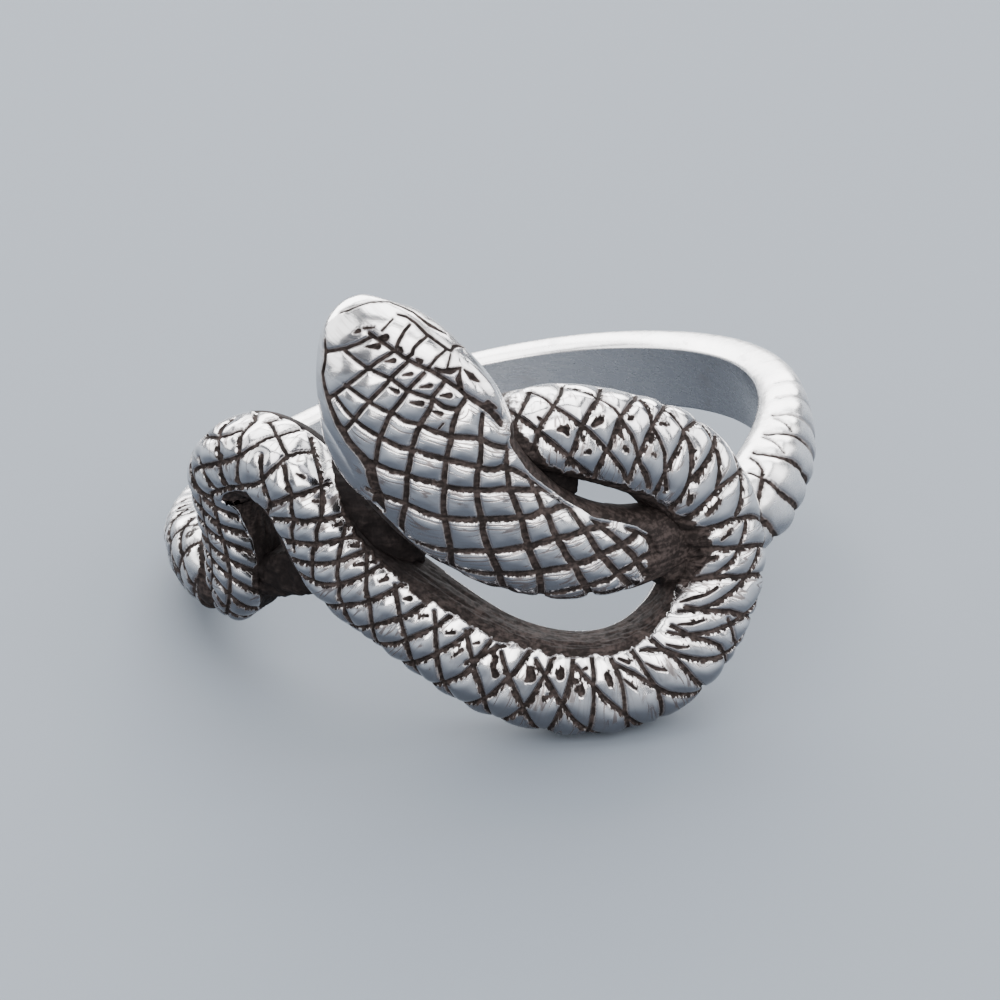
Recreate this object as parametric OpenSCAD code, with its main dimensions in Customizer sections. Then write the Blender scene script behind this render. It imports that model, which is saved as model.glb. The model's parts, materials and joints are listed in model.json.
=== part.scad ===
/* [Finger hole] */
// Diameter of the finger hole
finger_d = 18; // [15:0.1:22]

/* [Band] */
// Height of the band at the back, measured along the finger
band_h = 2.4; // [1.8:0.1:3.2]
// Thickness of the band at the back, measured outward from the finger
band_t = 1.4; // [1:0.1:2]

/* [Body] */
// Width of the snake's coiled body
body_w = 3; // [2.4:0.1:3.6]
// Thickness of the coiled body, measured outward from the finger
body_t = 2.6; // [2.2:0.1:3.4]
// Height that the routes of the coils and the head are drawn to, as a whole
coil_h = 10; // [8:0.1:12]
// Length of one scale along the body
scale_pitch = 1.1; // [0.9:0.1:1.6]
// Depth of the grooves between the scales
scale_relief = 0.2; // [0.1:0.05:0.3]

/* [Head] */
// Width of the head, as a whole
head_w = 4.8; // [3.8:0.1:5.6]
// Thickness of the head at its crown
head_t = 3.2; // [2.6:0.1:4]
// Length of one scale on the head
head_pitch = 0.9; // [0.8:0.1:1.2]
// Radius of the bulge of each eye
eye_r = 0.5; // [0.3:0.05:0.7]

/* [Resting pose] */
// Lean of the finger axis to the left, in degrees, as the ring lies on its side
lean_left = 11.5; // [6:0.1:14]
// Lean of the finger axis to the back, in degrees, as the ring lies on its side
lean_back = 5.3; // [3:0.1:9]

/* [Hidden] */

finger_r = finger_d / 2;
// Depth by which the swept shapes reach into the finger hole before it is bored
bore_dip = 0.4;
// Gap share below which a section reaches into the finger hole
bored_gap = 0.05;
// Power of the curve that makes a section a little squarer than an ellipse
fullness = 0.8;
// Cosine of the angle from the outward side at which the relief of the scales ends
relief_limit = -0.3;
// Sides of each swept section
band_sides = 16;
body_sides = 20;
head_sides = 30;
web_sides = 10;
// Length of one mesh step on the band and on the webs
band_step = 0.7;
web_step = 1;

// Each route is a table with a row for each place along it. Its columns are
// the angle round the finger from the front, positive to the right,
// the height above the middle of the band, as a share of coil_h,
// the width and the thickness there, as shares of the sizes named where it is swept,
// the gap between the finger hole and the underside, as a share of body_t,
// and the strength of the scale relief.
turn_col = 0;
rise_col = 1;
width_col = 2;
thick_col = 3;
gap_col = 4;
relief_col = 5;

// Band: from under the right loop, round the back, to the lower bend on the left
band_route = [
    [ 26,  0.02, 0.80, 1.20, 0, 0.0],
    [ 38,  0.00, 0.95, 1.35, 0, 0.3],
    [ 52,  0.00, 1.10, 1.45, 0, 1.0],
    [ 66,  0.02, 1.12, 1.24, 0, 0.8],
    [ 82,  0.03, 1.15, 1.15, 0, 0.6],
    [105,  0.03, 1.12, 1.13, 0, 0.3],
    [140,  0.01, 1.05, 1.10, 0, 0.0],
    [185,  0.00, 1.00, 1.00, 0, 0.0],
    [225,  0.00, 1.00, 1.00, 0, 0.0],
    [250,  0.02, 1.05, 1.10, 0, 0.2],
    [270,  0.06, 1.12, 1.25, 0, 0.7],
    [286,  0.11, 1.15, 1.40, 0, 1.0],
    [297,  0.11, 1.05, 1.50, 0, 1.0],
    [303,  0.08, 0.70, 1.40, 0, 0.5]
];

// Coiled body: lower left bend, arch, long slant, lowest bend, right loop, tail
body_route = [
    [-60.5, 0.00, 0.40, 0.55, 0, 0.0],
    [-58.7, 0.035, 0.64, 0.74, 0, 0.6],
    [-56,  0.12, 0.80, 0.85, 0, 1.0],
    [-54,  0.25, 0.77, 0.86, 0, 1.0],
    [-52.8, 0.38, 0.78, 0.88, 0, 1.0],
    [-50.5, 0.50, 0.83, 0.90, 0, 1.0],
    [-44.6, 0.568, 0.85, 0.92, 0, 1.0],
    [-37.7, 0.545, 0.85, 0.95, 0, 1.0],
    [-33.5, 0.465, 0.86, 0.98, 0, 1.0],
    [-28,  0.24, 0.97, 1.00, 0, 1.0],
    [-18,  0.04, 0.96, 1.00, 0, 1.0],
    [ -6, -0.17, 1.00, 1.00, 0, 1.0],
    [  7, -0.29, 1.03, 1.00, 0, 1.0],
    [ 19, -0.31, 1.05, 1.00, 0, 1.0],
    [ 30, -0.23, 1.05, 1.00, 0, 1.0],
    [ 37, -0.07, 1.05, 1.00, 0, 1.0],
    [ 37,  0.12, 1.05, 1.00, 0, 1.0],
    [ 32,  0.30, 1.03, 1.00, 0, 1.0],
    [ 24,  0.42, 1.00, 1.00, 0, 1.0],
    [ 14,  0.52, 0.92, 0.98, 0, 1.0],
    [  7,  0.56, 0.76, 0.92, 0, 0.8],
    [  1,  0.59, 0.56, 0.78, 0, 0.3],
    [ -5,  0.62, 0.36, 0.60, 0, 0.0]
];

// Head and neck: snout, eyes, crown, neck, end below the right loop
head_route = [
    [-14.2, 1.10, 0.18, 0.25, 0.66, 0.0],
    [-13.6, 1.05, 0.54, 0.60, 0.58, 0.0],
    [-12.4, 0.965, 0.80, 0.82, 0.52, 0.4],
    [-10.9, 0.86, 0.98, 0.96, 0.48, 1.0],
    [ -9.4, 0.74, 1.05, 1.00, 0.44, 1.0],
    [ -7.6, 0.62, 1.03, 1.00, 0.42, 1.0],
    [ -5.5, 0.50, 0.94, 0.98, 0.38, 1.0],
    [ -1.5, 0.37, 0.84, 0.92, 0.32, 1.0],
    [  4,   0.25, 0.74, 0.84, 0.24, 1.0],
    [ 11,   0.16, 0.64, 0.76, 0.14, 1.0],
    [ 19,   0.10, 0.54, 0.68, 0.04, 0.6],
    [ 27,   0.07, 0.46, 0.60, 0.00, 0.2],
    [ 36,   0.04, 0.40, 0.50, 0.00, 0.0]
];
// Rows of head_route between which each eye lies, and its angle down from the crown
eye_from = 3.2;
eye_to = 4;
eye_angle = 72;
// Size of the front of each eye, as a share of its back, and the facets round it
eye_taper = 0.7;
eye_facets = 12;
// Facets round the finger hole
hole_facets = 96;

// Web between the long slant and the left side of the head
slant_web = [
    [-33, 0.52, 0.50, 0.50, 0, 0],
    [-27, 0.42, 0.60, 0.66, 0, 0],
    [-20, 0.28, 0.55, 0.66, 0, 0],
    [-16, 0.21, 0.30, 0.50, 0, 0]
];

// Web across the foot of the arch
arch_web = [
    [-57, 0.11, 0.50, 0.55, 0, 0],
    [-46, 0.15, 0.54, 0.50, 0, 0],
    [-36, 0.18, 0.60, 0.50, 0, 0],
    [-27, 0.22, 0.62, 0.50, 0, 0]
];

// Web between the tail and the right side of the head
tail_web = [
    [-5, 0.58, 0.40, 0.50, 0, 0],
    [ 3, 0.48, 0.60, 0.66, 0, 0],
    [11, 0.36, 0.50, 0.55, 0, 0],
    [13, 0.33, 0.30, 0.45, 0, 0]
];

function unit(v) = v / norm(v);

function fuller(x) = sign(x) * pow(abs(x), fullness);

// Point at an angle round the finger, a height, and a distance from the finger axis
function place(turn, rise, reach) = [reach * sin(turn), -reach * cos(turn), rise];

// Values of a table at row number s, on a smooth curve through its rows
function row_at(rows, s) =
    let (
        i = min(floor(s), len(rows) - 2),
        t = s - i,
        a = rows[max(i - 1, 0)],
        b = rows[i],
        c = rows[i + 1],
        d = rows[min(i + 2, len(rows) - 1)],
        bend = 2 * a - 5 * b + 4 * c - d,
        twist = 3 * b - a - 3 * c + d
    )
    (2 * b + (c - a) * t + bend * t * t + twist * t * t * t) / 2;

// Centre of the section at row number s
function centre_at(rows, s, thick) =
    let (row = row_at(rows, s))
    place(
        row[turn_col],
        row[rise_col] * coil_h,
        finger_r + row[gap_col] * body_t + row[thick_col] * thick / 2
    );

// Row numbers at even steps of length along the curve
function stations(rows, thick, step) =
    let (
        parts = 10,
        last = (len(rows) - 1) * parts,
        lengths = [
            for (
                i = 0, run = 0;
                i <= last;
                run = run + norm(centre_at(rows, (i + 1) / parts, thick) - centre_at(rows, i / parts, thick)),
                i = i + 1
            )
                [run, i / parts]
        ],
        total = lengths[last][0],
        count = ceil(total / step)
    )
    [for (k = [0 : count]) lookup(total * k / count, lengths)];

// Point on the skin at row number s: angle is measured from the outward side
function skin_at(rows, s, width, thick, angle, groove = 0) =
    let (
        row = row_at(rows, s),
        reach = 0.02,
        ahead = centre_at(rows, min(s + reach, len(rows) - 1), thick),
        behind = centre_at(rows, max(s - reach, 0), thick),
        along = unit(ahead - behind),
        side = unit(cross(along, place(row[turn_col], 0, 1))),
        outward = cross(side, along),
        half_w = row[width_col] * width / 2 - groove,
        half_t = row[thick_col] * thick / 2,
        dip = row[gap_col] < bored_gap ? bore_dip : 0,
        depth = cos(angle) > 0 ? half_t - groove : half_t + dip
    )
    centre_at(rows, s, thick) + side * fuller(sin(angle)) * half_w + outward * fuller(cos(angle)) * depth;

// Whether a mesh point lies on a scale. The scales are either squares or diamonds
function on_scale(k, j, square) = square ? k % 3 > 0 && j % 3 > 0 : (k + j) % 2 == 0;

// Rings of points along a route, with grooves between the scales on the outward side
function skin_rings(rows, width, thick, sides, step, square = false) =
    let (at = stations(rows, thick, step))
    [
        for (k = [0 : len(at) - 1])
            [
                for (j = [0 : sides - 1])
                    let (
                        angle = 360 * j / sides,
                        strength = row_at(rows, at[k])[relief_col],
                        groove = on_scale(k, j, square) || cos(angle) < relief_limit ? 0 : scale_relief * strength
                    )
                    skin_at(rows, at[k], width, thick, angle, groove)
            ]
    ];

// Closed solid through rings of points
module skin(rings, square = false) {
    sides = len(rings[0]);
    last = len(rings) - 1;
    start = [for (axis = [0 : 2]) (rings[0][0][axis] + rings[0][sides / 2][axis]) / 2];
    end = [for (axis = [0 : 2]) (rings[last][0][axis] + rings[last][sides / 2][axis]) / 2];
    points = concat([for (ring = rings) each ring], [start, end]);
    walls = [
        for (k = [0 : last - 1])
            for (j = [0 : sides - 1])
                let (
                    a = k * sides + j,
                    b = k * sides + (j + 1) % sides,
                    c = a + sides,
                    d = b + sides
                )
                each (square || (k + j) % 2 == 1 ? [[a, d, b], [a, c, d]] : [[a, c, b], [b, c, d]])
    ];
    first_cap = [for (j = [0 : sides - 1]) [last * sides + sides, j, (j + 1) % sides]];
    last_cap = [
        for (j = [0 : sides - 1])
            [last * sides + sides + 1, last * sides + (j + 1) % sides, last * sides + j]
    ];
    polyhedron(points, concat(walls, first_cap, last_cap));
}

band_rings = skin_rings(band_route, band_h, band_t, band_sides, band_step);
body_rings = skin_rings(body_route, body_w, body_t, body_sides, scale_pitch / 2);
head_rings = skin_rings(head_route, head_w, head_t, head_sides, head_pitch / 3, true);

module web(rows) {
    skin(skin_rings(rows, body_w, body_t, web_sides, web_step));
}

module eye(angle) {
    hull() {
        translate(skin_at(head_route, eye_from, head_w, head_t, angle)) sphere(r = eye_r * eye_taper, $fn = eye_facets);
        translate(skin_at(head_route, eye_to, head_w, head_t, angle)) sphere(r = eye_r, $fn = eye_facets);
    }
}

// The ring lies on its side, leaned. These are the directions that then point to the right,
// to the back and straight up, as seen from the ring
rest_right = [cos(lean_left), 0, -sin(lean_left)];
rest_back = [sin(lean_left) * sin(lean_back), cos(lean_back), cos(lean_left) * sin(lean_back)];
rest_up = [sin(lean_left) * cos(lean_back), -sin(lean_back), cos(lean_left) * cos(lean_back)];
skin_points = [for (ring = concat(band_rings, body_rings, head_rings)) each ring];
rest_x = [for (point = skin_points) point * rest_right];
rest_y = [for (point = skin_points) point * rest_back];
rest_z = [for (point = skin_points) point * rest_up];
// Place of the middle of the band, so that the ring lies on z = 0 with its outline centred
rest_place = [-(min(rest_x) + max(rest_x)) / 2, -(min(rest_y) + max(rest_y)) / 2, -min(rest_z)];

module snake_ring() {
    color("silver")
        translate(rest_place)
            rotate([-lean_back, 0, 0])
                rotate([0, -lean_left, 0])
                    difference() {
                        union() {
                            skin(band_rings);
                            skin(body_rings);
                            skin(head_rings, true);
                            eye(eye_angle);
                            eye(-eye_angle);
                            web(slant_web);
                            web(arch_web);
                            web(tail_web);
                        }
                        cylinder(h = 4 * coil_h, r = finger_r, center = true, $fn = hole_facets);
                    }
}

snake_ring();
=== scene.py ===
import json
import math
import bpy
import numpy as np
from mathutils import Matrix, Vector


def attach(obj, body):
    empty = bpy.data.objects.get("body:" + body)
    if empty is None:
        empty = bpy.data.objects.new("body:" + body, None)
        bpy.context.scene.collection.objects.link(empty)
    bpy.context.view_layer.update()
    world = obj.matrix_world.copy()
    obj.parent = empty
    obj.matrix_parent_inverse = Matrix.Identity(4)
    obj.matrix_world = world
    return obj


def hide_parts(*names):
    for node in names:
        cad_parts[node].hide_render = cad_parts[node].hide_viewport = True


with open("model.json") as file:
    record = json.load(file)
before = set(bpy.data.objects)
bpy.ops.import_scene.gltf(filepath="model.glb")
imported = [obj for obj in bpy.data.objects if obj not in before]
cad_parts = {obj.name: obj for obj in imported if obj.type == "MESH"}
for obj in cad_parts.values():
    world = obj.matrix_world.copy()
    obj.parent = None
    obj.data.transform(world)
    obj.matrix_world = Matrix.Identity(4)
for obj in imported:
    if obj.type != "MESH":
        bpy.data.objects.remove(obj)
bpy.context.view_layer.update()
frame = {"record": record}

mm = 0.001

# The ring's own frame is in millimetres: x to the right, y to the back, z along the finger.
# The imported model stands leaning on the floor, as the finger hole's mount says.
mount = frame["record"]["mounts"][0]
fingerR = mount["dims"]["r_mm"]
holePlace = np.array(mount["pos_m"])
holeAxis = np.array(mount["axis"])
leanLeft = math.asin(-holeAxis[0])
leanBack = math.atan2(holeAxis[1], holeAxis[2])
sinLeft, cosLeft = math.sin(leanLeft), math.cos(leanLeft)
sinBack, cosBack = math.sin(leanBack), math.cos(leanBack)
leanMatrix = np.array([
    [cosLeft, 0, -sinLeft],
    [sinLeft * sinBack, cosBack, cosLeft * sinBack],
    [sinLeft * cosBack, -sinBack, cosLeft * cosBack],
])


def toModel(points):
    # from the ring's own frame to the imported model's, in metres
    return points @ leanMatrix.T * mm + holePlace


# Sizes that the routes are shares of, as in the part
sizes = {"bandH": 2.4, "bandT": 1.4, "bodyW": 3.0, "bodyT": 2.6, "coilH": 10.0, "headW": 4.8, "headT": 3.2}

# Every route row: angle round the finger, height share, width share, thickness share, gap share
bandRoute = [
    [26, 0.02, 0.80, 1.20, 0],
    [38, 0.00, 0.95, 1.35, 0],
    [52, 0.00, 1.10, 1.45, 0],
    [66, 0.02, 1.12, 1.24, 0],
    [82, 0.03, 1.15, 1.15, 0],
    [105, 0.03, 1.12, 1.13, 0],
    [140, 0.01, 1.05, 1.10, 0],
    [185, 0.00, 1.00, 1.00, 0],
    [225, 0.00, 1.00, 1.00, 0],
    [250, 0.02, 1.05, 1.10, 0],
    [270, 0.06, 1.12, 1.25, 0],
    [286, 0.11, 1.15, 1.40, 0],
    [297, 0.11, 1.05, 1.50, 0],
    [303, 0.08, 0.70, 1.40, 0],
]
bodyRoute = [
    [-60.5, 0.015, 0.40, 0.55, 0],
    [-58.3, 0.055, 0.62, 0.74, 0],
    [-55.2, 0.13, 0.70, 0.85, 0],
    [-53.2, 0.25, 0.66, 0.86, 0],
    [-52.2, 0.38, 0.70, 0.88, 0],
    [-50.5, 0.50, 0.83, 0.90, 0],
    [-44.6, 0.568, 0.85, 0.92, 0],
    [-37.7, 0.545, 0.85, 0.95, 0],
    [-33.5, 0.465, 0.86, 0.98, 0],
    [-28, 0.24, 0.97, 1.00, 0],
    [-18, 0.04, 0.96, 1.00, 0],
    [-6, -0.17, 1.00, 1.00, 0],
    [7, -0.29, 1.03, 1.00, 0],
    [19, -0.31, 1.05, 1.00, 0],
    [30, -0.23, 1.05, 1.00, 0],
    [37, -0.07, 1.05, 1.00, 0],
    [37, 0.12, 1.05, 1.00, 0],
    [32, 0.30, 1.03, 1.00, 0],
    [24, 0.42, 1.00, 1.00, 0],
    [14, 0.52, 0.92, 0.98, 0],
    [7, 0.56, 0.76, 0.92, 0],
    [1, 0.59, 0.56, 0.78, 0],
    [-5, 0.62, 0.36, 0.60, 0],
]
headRoute = [
    [-14.2, 1.10, 0.18, 0.25, 0.66],
    [-13.6, 1.05, 0.54, 0.60, 0.58],
    [-12.4, 0.965, 0.80, 0.82, 0.52],
    [-10.9, 0.86, 0.98, 0.96, 0.48],
    [-9.4, 0.74, 1.05, 1.00, 0.44],
    [-7.6, 0.62, 1.03, 1.00, 0.42],
    [-5.5, 0.50, 0.94, 0.98, 0.38],
    [-1.5, 0.37, 0.84, 0.92, 0.32],
    [4, 0.25, 0.74, 0.84, 0.24],
    [11, 0.16, 0.64, 0.76, 0.14],
    [19, 0.10, 0.54, 0.68, 0.04],
    [27, 0.07, 0.46, 0.60, 0.00],
    [36, 0.04, 0.40, 0.50, 0.00],
]
webRoutes = {
    "slantWeb": [
        [-33, 0.52, 0.50, 0.50, 0],
        [-27, 0.42, 0.60, 0.66, 0],
        [-20, 0.28, 0.55, 0.66, 0],
        [-15.5, 0.20, 0.12, 0.34, 0],
    ],
    "archWeb": [
        [-57, 0.11, 0.50, 0.55, 0],
        [-46, 0.15, 0.54, 0.50, 0],
        [-36, 0.18, 0.60, 0.50, 0],
        [-27, 0.22, 0.62, 0.50, 0],
    ],
    "tailWeb": [
        [-5, 0.58, 0.40, 0.50, 0],
        [3, 0.48, 0.60, 0.66, 0],
        [11, 0.36, 0.50, 0.55, 0],
        [13, 0.33, 0.30, 0.45, 0],
    ],
}
boreDip = 0.4  # how far the sections reach below the finger hole's wall before they are trimmed to it
farGap = 0.6  # the gap that stands for a place with no groove near it
finePerRow = 60  # steps between two rows of a route, to measure its length
bareSide = (-0.1, 0.04)  # where the scales give way to the bare wall, either side of its edge
# painted shade: the lower side of each scale is coloured darker, this far in from its lower edge
shadeWidth = 0.42  # how far the shade reaches into a scale from its lower edge
reachFade = 15  # degrees over which the scales end on the inner side
insideSoot = 0.3  # oxide on the inner side, where there are no scales


def unit(vectors):
    return vectors / np.linalg.norm(vectors, axis=-1, keepdims=True)


def smoothStep(low, high, x):
    t = np.clip((x - low) / (high - low), 0, 1)
    return t * t * (3 - 2 * t)


def rowsAt(table, s):
    # smooth curve through the rows of a table, at row numbers s
    table = np.asarray(table, float)
    last = len(table) - 1
    i = np.minimum(np.floor(s).astype(int), last - 1)
    t = (s - i)[:, None]
    a, b = table[np.maximum(i - 1, 0)], table[i]
    c, d = table[i + 1], table[np.minimum(i + 2, last)]
    bend = 2 * a - 5 * b + 4 * c - d
    twist = 3 * b - a - 3 * c + d
    return (2 * b + (c - a) * t + bend * t * t + twist * t ** 3) / 2


def centresAt(rows, thick):
    # middles of the sections, which rest on the finger or stand off it by their gap share
    turn = np.radians(rows[:, 0])
    reach = fingerR + rows[:, 4] * sizes["bodyT"] + rows[:, 3] * thick / 2
    return np.stack([reach * np.sin(turn), -reach * np.cos(turn), rows[:, 1] * sizes["coilH"]], -1)


def fuller(x):
    # makes a section a little squarer than an ellipse
    return np.sign(x) * np.abs(x) ** 0.8


def sectionAngles(count, outwardShare=0.74, limit=112):
    # most columns lie on the outward side, where the scales are
    outwardCount = int(count * outwardShare)
    front = np.linspace(-limit, limit, outwardCount)
    back = np.linspace(limit, 360 - limit, count - outwardCount + 2)[1:-1]
    return np.radians(np.concatenate([front, back]))


def sweep(route, width, thick, rings, columns, lead=((0, 0),)):
    # base surface of a piece, before its relief; lead says how far u is ahead of the run, as (run, lead)
    last = len(route) - 1
    fine = np.linspace(0, last, finePerRow * last + 1)
    finePoints = centresAt(rowsAt(route, fine), thick)
    run = np.concatenate([[0], np.cumsum(np.linalg.norm(np.diff(finePoints, axis=0), axis=1))])
    u = np.linspace(0, run[-1], rings)
    rows = rowsAt(route, np.interp(u, run, fine))
    centres = centresAt(rows, thick)
    along = unit(np.gradient(centres, axis=0))
    turn = np.radians(rows[:, 0])
    radial = np.stack([np.sin(turn), -np.cos(turn), np.zeros(rings)], -1)
    side = unit(np.cross(along, radial))
    outward = np.cross(side, along)
    angles = sectionAngles(columns)
    dip = np.where(rows[:, 4] < 0.05, boreDip, 0)[:, None]
    halfW, halfT = rows[:, 2:3] * width / 2, rows[:, 3:4] * thick / 2
    across = fuller(np.sin(angles))[None] * halfW
    up = fuller(np.cos(angles))[None] * np.where(np.cos(angles)[None] > 0, halfT, halfT + dip)
    points = centres[:, None] + side[:, None] * across[..., None] + outward[:, None] * up[..., None]
    # arc length round the section, from the outward crest
    steps = np.hypot(np.diff(across, axis=1), np.diff(up, axis=1))
    v = np.concatenate([np.zeros((rings, 1)), np.cumsum(steps, axis=1)], axis=1)
    crest = np.argmin(np.abs(angles))
    v = v - v[:, crest:crest + 1]
    stretch = np.linalg.norm(np.gradient(points, axis=0), axis=-1) / (u[1] - u[0])
    u = u + np.interp(u, *np.transpose(lead))
    return {"points": points, "centres": centres, "u": u[:, None] + 0 * v, "v": v,
            "stretch": np.clip(stretch, 0.25, 3), "angles": np.degrees(angles)[None] + 0 * v}


def alongU(base, table):
    # the value of a (u, value) table at each place of the skin
    return np.interp(base["u"], *np.transpose(table))


def gridNormals(base):
    points = base["points"]
    du = np.gradient(points, axis=0)
    dv = np.roll(points, -1, axis=1) - np.roll(points, 1, axis=1)
    normals = np.cross(du, dv)
    lengths = np.linalg.norm(normals, axis=-1, keepdims=True)
    normals = normals / np.maximum(lengths, 1e-9)
    away = points - base["centres"][:, None]
    flip = np.sign((normals * away).sum(-1, keepdims=True))
    return normals * np.where(flip == 0, 1, flip)


def innerSide(base, scalesReach):
    # 1 where the skin turns in past the scales, which reach so many degrees round the section
    reach = alongU(base, scalesReach)
    return smoothStep(reach, reach + reachFade, np.abs(base["angles"]))


def trimToHole(points, clear):
    # nothing reaches into the finger hole, and each piece stops a hair further out than the one before
    radius = np.hypot(points[..., 0], points[..., 1])
    grow = np.maximum((fingerR + clear) / np.maximum(radius, 1e-6), 1)
    trimmed = points.copy()
    trimmed[..., 0] *= grow
    trimmed[..., 1] *= grow
    return trimmed


def boredWall(points):
    # 1 on the smooth wall of the finger hole
    return 1 - smoothStep(0.03, 0.12, np.hypot(points[..., 0], points[..., 1]) - fingerR)


def strokeGap(base, strokes, width, reach=farGap):
    # millimetres from the nearest stroke's edge, below 0 inside it; a point is (u, v) or (u, v, width)
    u, v, stretch = base["u"], base["v"], base["stretch"]
    gap = np.full(u.shape, reach)
    for stroke in strokes:
        points = [(*point, width)[:3] for point in stroke]
        for (u1, v1, w1), (u2, v2, w2) in zip(points, points[1:]):
            # only the rings near this part of the stroke
            low = np.searchsorted(u[:, 0], min(u1, u2) - reach - 0.2)
            high = np.searchsorted(u[:, 0], max(u1, u2) + reach + 0.2)
            k = stretch[low:high]
            x, y = (u[low:high] - u1) * k, v[low:high] - v1
            dx, dy = (u2 - u1) * k, v2 - v1
            t = np.clip((x * dx + y * dy) / (dx * dx + dy * dy), 0, 1)
            distance = np.hypot(x - t * dx, y - t * dy) - (w1 + (w2 - w1) * t) / 2
            gap[low:high] = np.minimum(gap[low:high], distance)
    return gap


def runOn(strokes, before, after, past):
    # the same strokes drawn further: all at the start, and those that end past a place u at the end
    longer = []
    for stroke in strokes:
        first, second, previous, last = [np.array(stroke[k][:2]) for k in (0, 1, -2, -1)]
        start = first + unit(first - second) * before
        end = last + unit(last - previous) * after
        longer.append([tuple(start)] * (before > 0) + stroke + [tuple(end)] * bool(last[0] > past))
    return longer


def scaleSides(base, gap):
    # how far a place lies in the upper side of its scale, which is ragged, and in its lower side, which
    # gets painted shade
    z = toModel(base["points"])[..., 2] / mm
    gapU, gapV = np.gradient(gap, axis=0), np.gradient(gap, axis=1)
    zU, zV = np.gradient(z, axis=0), np.gradient(z, axis=1)
    stepU = np.maximum(np.gradient(base["u"], axis=0) * base["stretch"], 1e-4)
    stepV = np.maximum(np.gradient(base["v"], axis=1), 1e-4)
    slope = gapU * zU / stepU ** 2 + gapV * zV / stepV ** 2
    shaded = 1 - np.clip(gap / shadeWidth, 0, 1)
    return 1 - smoothStep(-0.35, 0.1, slope), smoothStep(-0.1, 0.5, slope) * shaded


def paintedUnderShade(base):
    # painted shade: 1 where the finished skin faces down, 0 where it faces up enough to stay bright
    return 1 - smoothStep(-0.25, 0.38, (gridNormals(base) @ leanMatrix.T)[..., 2])


def blurred(values, rounds=12):
    # evened out along and around the skin
    for k in range(rounds):
        around = values / 2 + (np.roll(values, 1, axis=1) + np.roll(values, -1, axis=1)) / 4
        values = around.copy()
        values[1:-1] = around[1:-1] / 2 + (around[2:] + around[:-2]) / 4
    return values


def relief(gap, depth, dome, width=0.36):
    # grooves with steep walls, and scales that are slightly domed
    wall = 1 - smoothStep(-0.03, 0.05, gap)
    crown = (1 - np.clip(gap / width, 0, 1)) ** 2
    return -(depth - dome) * wall - dome * blurred(crown)


def pitRelief(gap, depth):
    return -depth * (1 - smoothStep(-0.05, 0.025, gap))


def valueNoise(x, y, seed, cells=64):
    # smooth random values over a plane, between -1 and 1
    lattice = np.random.default_rng(seed).uniform(-1, 1, (cells, cells))
    xi, yi = np.floor(x).astype(int), np.floor(y).astype(int)
    fx, fy = smoothStep(0, 1, x - xi), smoothStep(0, 1, y - yi)
    left, right = xi % cells, (xi + 1) % cells
    below, above = yi % cells, (yi + 1) % cells
    low = lattice[left, below] * (1 - fx) + lattice[right, below] * fx
    high = lattice[left, above] * (1 - fx) + lattice[right, above] * fx
    return low * (1 - fy) + high * fy


def layeredNoise(base, layers):
    # each layer has its strength, how fine it is along and across, and its seed
    return sum(strength * valueNoise(base["u"] * fineU, base["v"] * fineV, seed)
               for strength, fineU, fineV, seed in layers)


def repeated(strokes, start, pitch, count):
    # the same strokes again and again along the route
    return [[(start + pitch * k + point[0], *point[1:]) for point in stroke]
            for k in range(count) for stroke in strokes]


def closeness(points, centres, radius, reach):
    # 1 where another swept piece touches, falling to 0 at the given reach from its skin
    flat = points.reshape(-1, 3)
    nearest = np.full(len(flat), 1e9)
    for part in np.array_split(centres, 12):  # a part at a time, to spare memory
        gaps = np.linalg.norm(flat[:, None] - part[None], axis=-1).min(1)
        nearest = np.minimum(nearest, gaps)
    return 1 - smoothStep(0, reach, nearest.reshape(points.shape[:-1]) - radius)


def nearStretch(base, other, start, end, radius, reach):
    # the same for a length of another piece, from one u to another
    u = other["u"][:, 0]
    return closeness(base["points"], other["centres"][(u >= start) & (u <= end)][::2], radius, reach)


def finishSkin(base, height, clear):
    # the skin with its relief, kept out of the finger hole
    base["points"] = trimToHole(base["points"] + gridNormals(base) * height[..., None], clear)


def skinMarks(base, **given):
    # what the material reads at each place; what isn't given is plain
    plain = {"gap": farGap, "soot": 0, "lower": 0, "ragged": 0, "bite": 0, "step": 0, "lined": 0,
             "along": base["v"], "across": base["u"], "scaly": 0}
    return {key: given.get(key, value) + 0 * base["v"] for key, value in plain.items()}


def buildMesh(name, points, marks, normals):
    # closed tube of quads with fans at both ends
    rings, columns = points.shape[:2]
    ends = np.stack([points[0].mean(0), points[-1].mean(0)])
    verts = toModel(np.concatenate([points.reshape(-1, 3), ends]))
    ways = np.concatenate([normals.reshape(-1, 3), normals[0, :1], normals[-1, :1]]) @ leanMatrix.T
    k, j = np.meshgrid(np.arange(rings - 1), np.arange(columns), indexing="ij")
    nextJ = (j + 1) % columns
    here, ahead = k * columns, (k + 1) * columns
    quads = np.stack([here + j, here + nextJ, ahead + nextJ, ahead + j], -1)
    ring = np.arange(columns)
    nextRing = (ring + 1) % columns
    lastRow = (rings - 1) * columns
    first = np.stack([np.full(columns, rings * columns), nextRing, ring], -1)
    last = np.stack([np.full(columns, rings * columns + 1), lastRow + ring, lastRow + nextRing], -1)
    mesh = bpy.data.meshes.new(name)
    mesh.from_pydata(verts.tolist(), [], quads.reshape(-1, 4).tolist() + first.tolist() + last.tolist())
    for key, values in marks.items():
        flat = np.concatenate([np.asarray(values, float).reshape(-1), [0, 0]])
        layer = mesh.attributes.new(key, "FLOAT", "POINT")
        layer.data.foreach_set("value", flat.astype(np.float32))
    mesh.shade_smooth()
    mesh.update()
    mesh.normals_split_custom_set_from_vertices(ways.tolist())
    piece = bpy.data.objects.new(name, mesh)
    bpy.context.scene.collection.objects.link(piece)
    return piece


def settle(piece, material):
    piece.data.materials.append(material)
    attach(piece, "root")
    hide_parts("snake_ring")


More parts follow.
